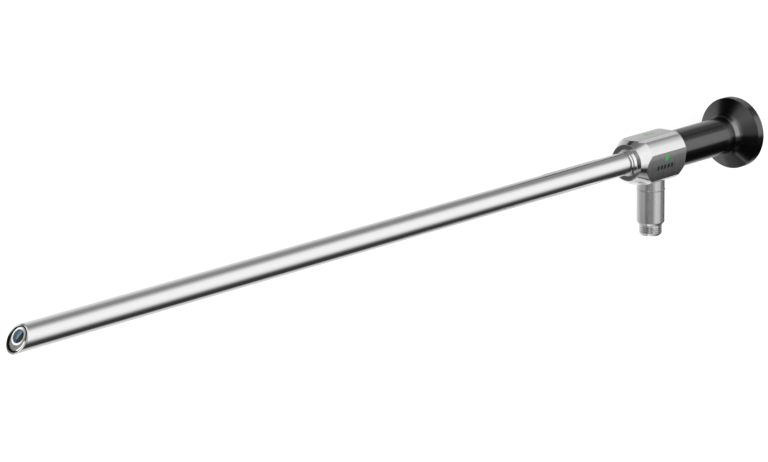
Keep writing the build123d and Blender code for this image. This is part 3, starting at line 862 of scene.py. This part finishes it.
class ENDOSCOPE_OT_hub(bpy.types.Operator):
    """Steel hub: turned cones, a flat on top, leaning sides and round lower corners"""

    bl_idname = "endoscope.hub"
    bl_label = "Hub"

    def execute(self, context):
        edge = context.scene.endoscope_shapes.edge_round
        columns = []
        for across, away in rounded(self.section(edge), 4):
            outer = math.hypot(across, away)
            rows = rounded(self.lengthwise(outer, edge), 4)
            columns.append([(x, across * r / outer, away * r / outer) for x, r in rows])
        seats = [
            self.drill(POST_RADIUS + SLACK, POST_TOP), self.drill(POST_NECK + SLACK, POST_NECK_TOP),
            self.drill(POST_BORE, 3.8),
        ]
        block = finished("hub_block", skinned(columns), seats)
        dressed(block, brushed_steel(), "hub_body")
        return {"FINISHED"}

    def section(self, edge):
        """Corners of the hub's section as (across, away, radius), all the way round."""
        top = (math.sqrt(HUB_ROUND**2 - HUB_TOP**2), HUB_TOP)
        shoulder = self.meeting(HUB_ROUND, 1)
        foot = self.meeting(HUB_FOOT_ROUND, -1)
        low = (math.sqrt(HUB_FOOT_ROUND**2 - HUB_LOW**2), -HUB_LOW)
        half = [
            (0.0, HUB_TOP, 0),
            *self.straight((0.0, HUB_TOP), top, 12, edge),
            *self.arc(HUB_ROUND, top, shoulder, edge),
            *self.straight(shoulder, foot, 30, edge),
            *self.arc(HUB_FOOT_ROUND, foot, low, edge),
            *self.straight(low, (0.0, -HUB_LOW), 8, 0),
        ]
        return half + [(-across, away, radius) for across, away, radius in half[-2:0:-1]]

    def straight(self, start, end, count, edge):
        """Corners of the section on the way from start to end, with an edge at the end."""
        shares = [step / count for step in range(1, count + 1)]
        return [
            (start[0] + (end[0] - start[0]) * share, start[1] + (end[1] - start[1]) * share,
             edge if share == 1 else 0)
            for share in shares
        ]

    def arc(self, radius, start, end, edge):
        """Corners of the section round the axis from start to end, with an edge at the end."""
        first, last = math.atan2(*start), math.atan2(*end)
        turns = [first + (last - first) * step / 8 for step in range(1, 9)]
        return [
            (radius * math.sin(turn), radius * math.cos(turn), edge if turn == turns[-1] else 0)
            for turn in turns
        ]

    def meeting(self, radius, sign):
        """Where a leaning side meets a circle round the axis, above or below."""
        run = 1 + HUB_LEAN**2
        root = math.sqrt((HUB_SIDE * HUB_LEAN) ** 2 - run * (HUB_SIDE**2 - radius**2))
        away = (-HUB_SIDE * HUB_LEAN + sign * root) / run
        return (HUB_SIDE + HUB_LEAN * away, away)

    def lengthwise(self, outer, edge):
        """Corners of the hub's outline at a place on its section, as (x, r, radius)."""
        front_cone, rear_cone = 1.9, 1.95
        front = front_cone * (outer - HUB_FACE)
        rear_radius = min(outer, HUB_REAR)
        rear = HUB_LENGTH - rear_cone * (outer - rear_radius)
        collar_seat, housing_seat, chamber = COLLAR_RADIUS + SLACK, HOUSING_RADIUS + SLACK, 7.6
        chamber_front, chamber_back = 9.0, 20.0
        corners = [(0.0, collar_seat, 0.05), (0.0, HUB_FACE, edge), (front, outer, edge)]
        if rear < HUB_LENGTH - 0.05:
            corners += [(rear, outer, edge), (HUB_LENGTH, rear_radius, edge)]
        else:
            # Without a cone, five plain corners stand for its rounded one, so that the rows match
            corners += [(HUB_LENGTH - 0.8 + 0.1 * step, outer, 0) for step in range(5)]
            corners += [(HUB_LENGTH, outer, edge)]
        return corners + [
            (HUB_LENGTH, housing_seat, 0.05), (chamber_back, housing_seat, 0.02),
            (chamber_back, chamber, 0.02), (chamber_front, chamber, 0.02),
            (chamber_front, collar_seat, 0.02),
        ]

    def drill(self, radius, top):
        """Cutter for a round hole under the hub, which starts at a depth under the axis."""
        bottom = 16.0
        mesh = bmesh.new()
        bmesh.ops.create_cone(
            mesh, cap_ends=True, segments=96, radius1=radius, radius2=radius, depth=bottom - top
        )
        bmesh.ops.translate(mesh, verts=mesh.verts, vec=(POST_PLACE, 0, -(top + bottom) / 2))
        return put("drill", mesh)


class ENDOSCOPE_OT_light_post(bpy.types.Operator):
    """Base and adapter of the light post, with its thread"""

    bl_idname = "endoscope.light_post"
    bl_label = "Light post"

    def execute(self, context):
        shapes = context.scene.endoscope_shapes
        steel = satin_steel()
        bead = POST_RADIUS + 0.2
        spigot_end = POST_SEAM + 4.5
        base = [
            (POST_NECK_TOP, POST_BORE, 0), (POST_NECK_TOP, POST_NECK, 0), (POST_TOP, POST_NECK, 0),
            (POST_TOP, POST_RADIUS, 0), (POST_SEAM - 0.5, POST_RADIUS, 0.04),
            (POST_SEAM - 0.35, bead, 0.05), (POST_SEAM - 0.15, bead, 0.08),
            (POST_SEAM, bead - 0.15, 0.03), (POST_SEAM, SPIGOT_RADIUS, 0),
            (spigot_end, SPIGOT_RADIUS, 0), (spigot_end, POST_BORE, 0),
        ]
        foot = spun("post_foot", rounded(base, 3), turned_on_post, 160)
        dressed(foot, steel, "light_post_base")

        thread_start = POST_SEAM + 15.8
        thread_end = thread_start + shapes.thread_pitch * 4
        depths = [thread_start + (thread_end - thread_start) * row / 64 for row in range(65)]
        shoulder, recess, end = POST_SEAM + 14.4, POST_SEAM + 5.7, POST_SEAM + 20.4
        socket, ferrule_bore = SPIGOT_RADIUS + SLACK, POST_BORE + SLACK
        sleeve = [
            (POST_SEAM, socket, 0), (POST_SEAM, POST_RADIUS - 0.15, 0.04),
            (POST_SEAM + 0.15, POST_RADIUS, 0.06), (shoulder, POST_RADIUS, 0.35),
            (thread_start - 0.15, THREAD_RADIUS, 0.1), *((depth, THREAD_RADIUS, 0) for depth in depths),
            (end, 4.3, 0.25), (end, ferrule_bore, 0.08), (recess, ferrule_bore, 0), (recess, socket, 0),
        ]

        def lay(depth, r, angle):
            """Point of the sleeve, with the helix of the thread cut into it and fading at both ends."""
            inside = (depth - thread_start) / (thread_end - thread_start)
            if r > THREAD_RADIUS - 0.05 and 0 <= inside <= 1:
                phase = (depth - thread_start) / shapes.thread_pitch - angle / (2 * math.pi)
                wave = 0.5 - 0.5 * math.cos(2 * math.pi * phase)
                fade = min(1.0, 8 * inside, 8 * (1 - inside))
                r -= shapes.thread_depth * fade * min(1.0, max(0.0, 1.5 * wave - 0.25))
            return turned_on_post(depth, r, angle)

        adapter = spun("post_sleeve", rounded(sleeve, 4), lay, 160)
        dressed(adapter, steel, "light_post_adapter")
        coated("fibre_ferrule", steel)
        coated("light_inlet_glass", coated_glass())
        coated("light_post_seal", seal_rubber())
        return {"FINISHED"}


class ENDOSCOPE_OT_eyepiece(bpy.types.Operator):
    """Black eyepiece: barrel, flare, rim and dish, with its window and ring"""

    bl_idname = "endoscope.eyepiece"
    bl_label = "Eyepiece"

    def execute(self, context):
        shapes = context.scene.endoscope_shapes
        flare = (RIM_RADIUS - BARREL_RADIUS) / math.tan(math.radians(58.3))
        bore, pane_seat = HOUSING_RADIUS + SLACK, EYE_PANE + SLACK
        web_front, web_back = 69.0, 69.9
        corners = [
            (HUB_LENGTH, bore, 0), (HUB_LENGTH, BARREL_RADIUS, 0.12),
            (RIM_FRONT - flare, BARREL_RADIUS, shapes.flare_round), (RIM_FRONT, RIM_RADIUS, 0.4),
            (RIM_BACK, RIM_RADIUS, 0.5), (RIM_BACK, 14.6, 0.35), (DISH_FLOOR, 7.0, 0.15),
            (DISH_FLOOR, pane_seat, 0), (web_back, pane_seat, 0), (web_back, APERTURE, 0),
            (web_front, APERTURE, 0), (web_front, bore, 0),
        ]
        shell = spun("eyepiece_horn", rounded(corners, 10), turned, 192)
        dressed(shell, black_satin(), "eyepiece_shell")
        pane_front, pane_back = DISH_FLOOR - 2.6, DISH_FLOOR - 1.0
        ring = [
            (pane_back, APERTURE, 0), (pane_back, EYE_PANE, 0), (DISH_FLOOR, EYE_PANE, 0.06),
            (DISH_FLOOR, APERTURE + 0.5, 0.06), (pane_back + 0.5, APERTURE, 0.06),
        ]
        holder = spun("window_holder", rounded(ring, 3), turned, 144)
        dressed(holder, black_metal(), "window_ring")
        pane = [
            (pane_front, 0, 0), (pane_front, EYE_PANE, 0.08), (pane_back, EYE_PANE, 0.08), (pane_back, 0, 0)
        ]
        glass = spun("eye_window", rounded(pane, 2), turned, 144)
        dressed(glass, coated_glass(), "eyepiece_window")
        coated("window_seal", seal_rubber())
        return {"FINISHED"}


class ENDOSCOPE_OT_inner_optics(bpy.types.Operator):
    """Finishes of the lenses, rods, rings and tubes inside"""

    bl_idname = "endoscope.inner_optics"
    bl_label = "Inner optics"

    def execute(self, context):
        finishes = {
            "optical_glass": clear_glass(), "black_metal": black_metal(), "drawn_steel": drawn_steel(),
        }
        for part in frame["record"]["subparts"]:
            finish = finishes.get(part["material_slot"])
            if finish and part["node"] != "view_prism":
                coated(part["node"], finish)
        return {"FINISHED"}


class ENDOSCOPE_OT_studio(bpy.types.Operator):
    """Pale floor, soft light from a panel overhead, and the camera"""

    bl_idname = "endoscope.studio"
    bl_label = "Studio"

    def execute(self, context):
        studio = context.scene.endoscope_studio
        self.light(studio)
        self.floor(studio)
        self.lamp(studio)
        view = bpy.data.cameras.new("view")
        view.lens = studio.camera_lens
        view.sensor_width = 36.0
        view.clip_start = 0.01
        camera = bpy.data.objects.new("view", view)
        camera.location = studio.camera_place
        camera.rotation_euler = Euler(studio.camera_turn)
        context.scene.collection.objects.link(camera)
        context.scene.camera = camera
        context.scene.view_settings.view_transform = "Standard"
        return {"FINISHED"}

    def lamp(self, studio):
        """Soft lamp in front that lights matt surfaces and stays out of the reflections."""
        panel = bpy.data.lights.new("front_lamp", "AREA")
        panel.shape = "DISK"
        panel.size = 0.5
        panel.energy = studio.lamp_power
        lamp = bpy.data.objects.new("front_lamp", panel)
        place = Vector((-0.85, -0.3, 0.45))
        target = TUBE_POINT - ALONG * 0.15
        lamp.location = place
        lamp.rotation_euler = (target - place).to_track_quat("-Z", "Y").to_euler()
        lamp.visible_glossy = False
        bpy.context.scene.collection.objects.link(lamp)

    def light(self, studio):
        """A long soft panel over the scope and darker walls round it; plain white for the camera.

        Each ramp goes over the scope, from its far side to the lamp's side.
        """
        world = bpy.data.worlds.new("studio_light")
        bpy.context.scene.world = world
        shader = Shader(world)
        way = shader.node("ShaderNodeTexCoord", output="Generated")
        east, north, up = (way.dot(axis) for axis in ((1, 0, 0), (0, 1, 0), (0, 0, 1)))
        over = up.maths("ARCTAN2", north) / math.pi
        beyond = over.ramp(
            (0.0, 0.27), (0.08, 0.25), (0.15, 0.32), (0.24, 0.64), (0.33, 0.95), (0.5, 1.0),
            (0.62, 0.93), (0.70, 0.66), (0.78, 0.21), (0.86, 0.045), (0.93, 0.035), (1.0, 0.05),
        )
        abreast = over.ramp(
            (0.0, 0.16), (0.15, 0.2), (0.24, 0.9), (0.4, 1.05), (0.62, 1.0), (0.70, 0.6),
            (0.77, 0.02), (0.84, 0.02), (0.92, 0.28), (1.0, 0.5),
        )
        before = over.ramp((0.0, 0.42), (0.2, 0.62), (0.5, 0.34), (0.65, 0.28), (0.78, 0.1), (1.0, 0.0))
        lit = east.rise(0.1, 0.6).mixed(abreast, beyond)
        lit = east.rise(-0.6, -0.2).mixed(before, lit)
        shown = shader.node("ShaderNodeBackground", None, {"Color": grey(1.0), "Strength": 1.0})
        cast = shader.node("ShaderNodeBackground", None, {"Color": lit, "Strength": studio.panel_level})
        both = shader.blended(shader.ray("Camera"), cast, shown)
        shader.node("ShaderNodeOutputWorld", None, {"Surface": both})

    def floor(self, studio):
        """Pale floor: white for the camera with the scope's shadow, and a lit strip in reflections."""
        mesh = bmesh.new()
        bmesh.ops.create_grid(mesh, x_segments=24, y_segments=24, size=studio.floor_size)
        plate = put("floor", mesh)
        plate.location = (0, 0, -0.0002)
        shader = new_shader("pale_floor")
        paint = shader.node("ShaderNodeBsdfDiffuse", None, {"Color": grey(0.9)})
        # Over 1, to make up for the share of the paint
        white = shader.node("ShaderNodeEmission", None, {"Color": grey(1.0), "Strength": 1.24})
        strip = shader.node("ShaderNodeEmission", None, {"Color": self.floor_glow(shader), "Strength": 1.0})
        seen = shader.blended(studio.shadow_share, white, paint)
        mirrored = shader.ray("Glossy").higher(shader.ray("Transmission"))
        other = shader.blended(mirrored, paint, strip)
        plate.data.materials.append(shader.out(shader.blended(shader.ray("Camera"), other, seen)))

    def floor_glow(self, shader):
        """How bright the floor looks in the metal: a lit strip round the scope, fading outwards."""
        spot = shader.node("ShaderNodeTexCoord", output="Object")
        along = spot.dot((1 / MM, 0, 0))
        aside = spot.dot((0, 1 / MM, 0)) - HUB.y / MM
        north = 1.0 - aside.rise(8.0, 28.0) * 0.36 - aside.rise(28.0, 60.0) * 0.22
        south = (1 - (-aside).rise(0.0, 110.0)) ** 1.6
        # Bright on the lamp's side of the hub; dark beyond hub and flare, and under the tube's rear
        patch = along.band(147.0, 178.0, 7.0) * aside.band(-170.0, -6.0, 8.0) * 0.95
        glow = (north * south * 0.9 + 0.03).higher(patch)
        beyond_hub = along.band(142.0, 212.0, 12.0) * aside.rise(42.0, 54.0)
        beyond_flare = along.band(178.0, 212.0, 12.0) * aside.rise(26.0, 40.0)
        under_tube = along.band(100.0, 133.0, 4.0) * aside.band(-9.0, 9.0, 4.0)
        return glow * (1 - highest((beyond_hub, beyond_flare, under_tube)) * 0.88)


class ENDOSCOPE_PT_panel(bpy.types.Panel):
    """The endoscope's sizes, finishes and pieces"""

    bl_idname = "ENDOSCOPE_PT_panel"
    bl_label = "Endoscope"
    bl_space_type = "VIEW_3D"
    bl_region_type = "UI"
    bl_category = "Endoscope"

    def draw(self, context):
        for group in (getattr(context.scene, name) for name in GROUPS):
            box = self.layout.box()
            for name in group.__annotations__:
                box.prop(group, name)
        for operator in PIECES:
            self.layout.operator(operator.bl_idname)


GROUPS = {
    "endoscope_shapes": ENDOSCOPE_PG_shapes,
    "endoscope_finishes": ENDOSCOPE_PG_finishes,
    "endoscope_studio": ENDOSCOPE_PG_studio,
}
PIECES = (
    ENDOSCOPE_OT_tube, ENDOSCOPE_OT_slanted_end, ENDOSCOPE_OT_collar, ENDOSCOPE_OT_hub,
    ENDOSCOPE_OT_light_post, ENDOSCOPE_OT_eyepiece, ENDOSCOPE_OT_inner_optics, ENDOSCOPE_OT_studio,
)
KINDS = (*GROUPS.values(), *PIECES, ENDOSCOPE_PT_panel)


def register():
    for kind in KINDS:
        bpy.utils.register_class(kind)
    for name, group in GROUPS.items():
        setattr(bpy.types.Scene, name, bpy.props.PointerProperty(type=group))


def unregister():
    for name in GROUPS:
        delattr(bpy.types.Scene, name)
    for kind in reversed(KINDS):
        bpy.utils.unregister_class(kind)


def main():
    register()
    bpy.ops.endoscope.tube()
    bpy.ops.endoscope.slanted_end()
    bpy.ops.endoscope.collar()
    bpy.ops.endoscope.hub()
    bpy.ops.endoscope.light_post()
    bpy.ops.endoscope.eyepiece()
    bpy.ops.endoscope.inner_optics()
    bpy.ops.endoscope.studio()
    bpy.context.view_layer.update()


if __name__ == "__main__":
    main()
